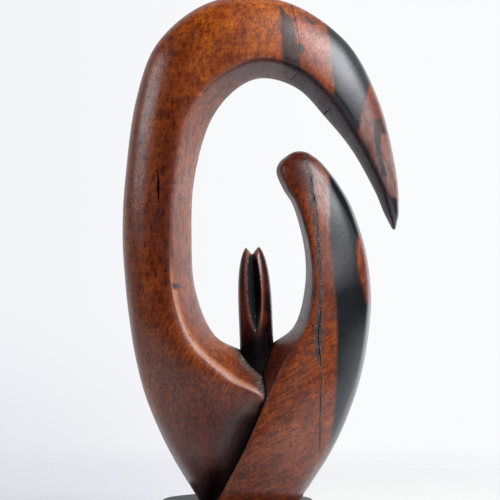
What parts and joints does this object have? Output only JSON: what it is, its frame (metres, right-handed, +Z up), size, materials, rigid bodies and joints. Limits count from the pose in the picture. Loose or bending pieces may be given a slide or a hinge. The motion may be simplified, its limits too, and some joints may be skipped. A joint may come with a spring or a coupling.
{
  "type": "wooden family sculpture",
  "caption": "Abstract carved hardwood family: a tall hooked figure, a shorter curved one and a small forked one in the fold between them, standing on a dark round base.",
  "frame": {"origin": "on the base's underside, 5 mm to the right of its middle and 7 mm in front of it, so that the plane y = 0 halves the carving", "axes": "+Z up, +X to the viewer's right seen from the front, +Y from the front to the back"},
  "size_m": [0.1659, 0.0951, 0.323],
  "materials": {
    "carved_wood": "satin polished dark hardwood with near-black heartwood layers",
    "base_wood": "near-black polished top with a rough worn rim"
  },
  "bodies": {
    "root": {"family_carving": "carved_wood", "base_slab": "base_wood"}
  },
  "joints": []
}
